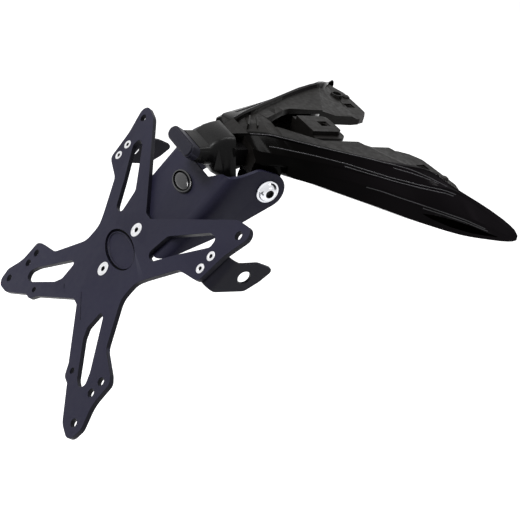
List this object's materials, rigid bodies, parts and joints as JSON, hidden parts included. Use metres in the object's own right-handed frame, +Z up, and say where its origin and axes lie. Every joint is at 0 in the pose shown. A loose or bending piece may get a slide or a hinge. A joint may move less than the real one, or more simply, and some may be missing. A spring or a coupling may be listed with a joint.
{
  "type": "tail tidy",
  "caption": "Moulded undertail shell with a tilting folded arm that carries an X-shaped number plate holder, a small plate light and two indicator brackets.",
  "frame": {"origin": "middle between the two front lug holes, on the floor of their nut seats", "axes": "+X forward along the bike, +Y to its left, +Z up"},
  "size_m": [0.3082, 0.2796, 0.207],
  "materials": {
    "shell_gloss": "gloss black moulded plastic",
    "light_satin": "satin black moulded plastic",
    "light_case": "satin black light body",
    "lens_clear": "clear lens",
    "board": "circuit board with lamps",
    "coated_steel": "satin blue-black coat",
    "badge_dark": "dark satin domed badge",
    "bright_screw": "bright zinc or stainless",
    "polished_bolt": "polished stainless",
    "nylon": "black nylon",
    "insert_brass": "knurled brass insert"
  },
  "bodies": {
    "tail": {"undertail_shell": "shell_gloss", "light_housing": "light_satin", "light_body": "light_case", "light_lens": "lens_clear", "light_board": "board", "housing_screw_right": "bright_screw", "housing_screw_left": "bright_screw", "pivot_bolt_right": "polished_bolt", "pivot_bolt_left": "polished_bolt", "pivot_washer_right": "nylon", "pivot_washer_left": "nylon", "pivot_insert_right": "insert_brass", "pivot_insert_left": "insert_brass"},
    "arm": {"arm_bracket": "coated_steel", "arm_badge": "badge_dark", "plate_carrier": "coated_steel", "arm_screw_upper": "bright_screw", "arm_screw_lower": "bright_screw", "arm_nut_upper": "bright_screw", "arm_nut_lower": "bright_screw", "indicator_bracket_right": "coated_steel", "indicator_bracket_left": "coated_steel", "bracket_screw_right_upper": "bright_screw", "bracket_screw_right_lower": "bright_screw", "bracket_screw_left_upper": "bright_screw", "bracket_screw_left_lower": "bright_screw", "bracket_nut_right_upper": "bright_screw", "bracket_nut_right_lower": "bright_screw", "bracket_nut_left_upper": "bright_screw", "bracket_nut_left_lower": "bright_screw"}
  },
  "joints": [
    {"name": "arm_tilt", "type": "hinge", "parent": "tail", "child": "arm", "pos_m": [-0.1246, 0, -0.027], "axis": [0, 1, 0], "range_deg": [-20, 8]}
  ]
}
